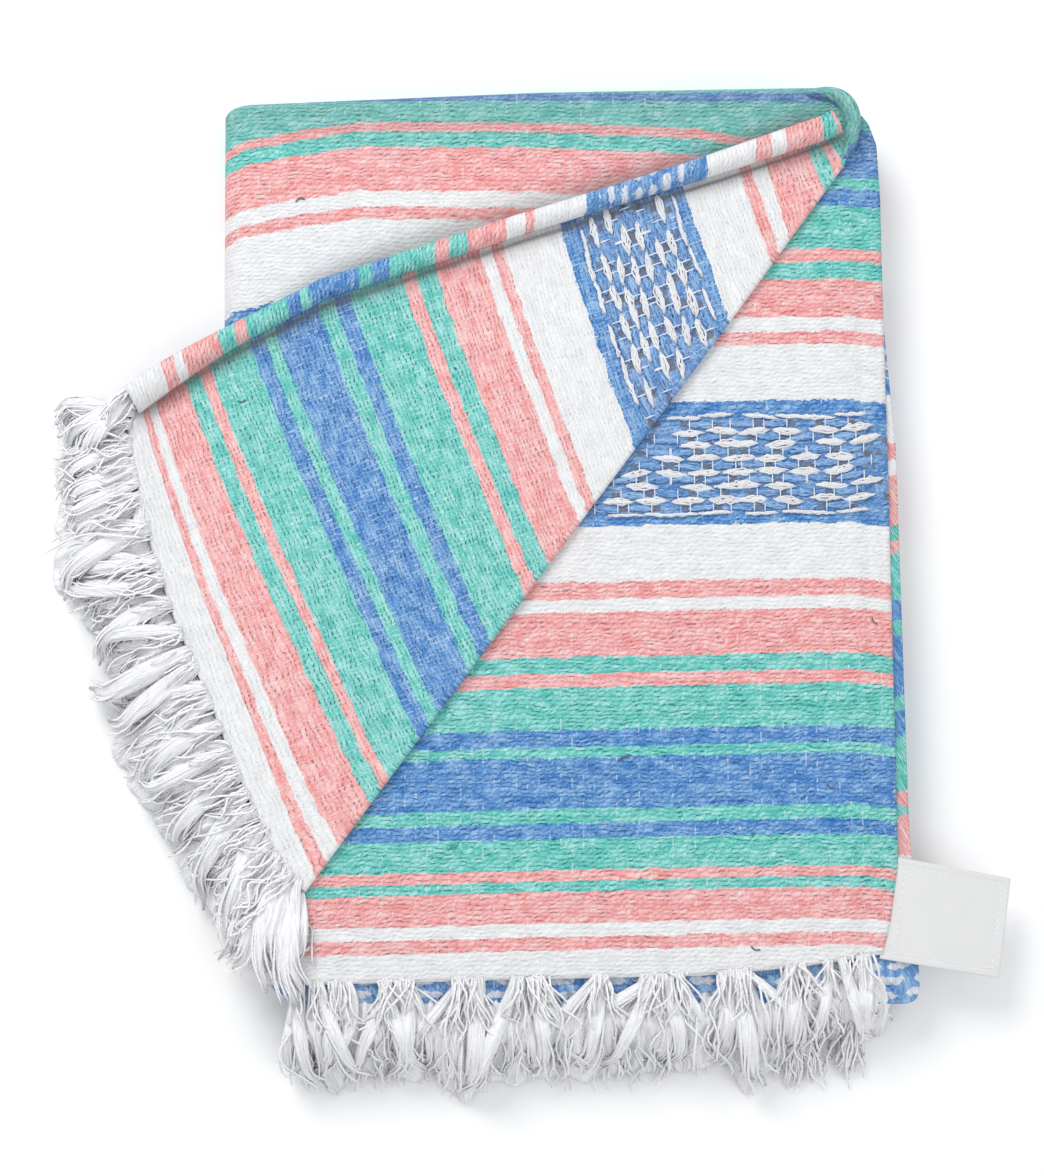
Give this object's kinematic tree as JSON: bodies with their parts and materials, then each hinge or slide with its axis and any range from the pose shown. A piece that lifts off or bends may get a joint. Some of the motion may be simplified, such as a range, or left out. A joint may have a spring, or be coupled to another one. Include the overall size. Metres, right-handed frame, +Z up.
{
  "type": "folded mexican blanket",
  "caption": "Handwoven striped cotton blanket with fringed ends, folded into a flat packet with one corner of the top layer turned over.",
  "frame": {"origin": "middle of the blanket's bounding box in plan, on the surface that it lies on", "axes": "+X to the right across the packet, +Y back from the fringed end to the fold, +Z up"},
  "size_m": [0.4694, 0.4966, 0.0488],
  "materials": {
    "striped_weave": "coarse handwoven cotton in coral, aqua, blue and white stripes, matt",
    "hidden_weave": "the same handwoven cloth seen at the edges of its folded layers, matt",
    "cotton_fringe": "loose white cotton warp ends, matt",
    "label_tape": "blank off-white woven label, matt with a slight sheen"
  },
  "bodies": {
    "root": {"folded_layers": "hidden_weave", "front_panel": "striped_weave", "upper_panel": "striped_weave", "turned_corner": "striped_weave", "rolled_selvage": "striped_weave", "label": "label_tape", "front_fringe": "cotton_fringe", "middle_fringe": "cotton_fringe", "base_fringe": "cotton_fringe", "upper_fringe": "cotton_fringe", "turned_corner_fringe": "cotton_fringe"}
  },
  "joints": []
}
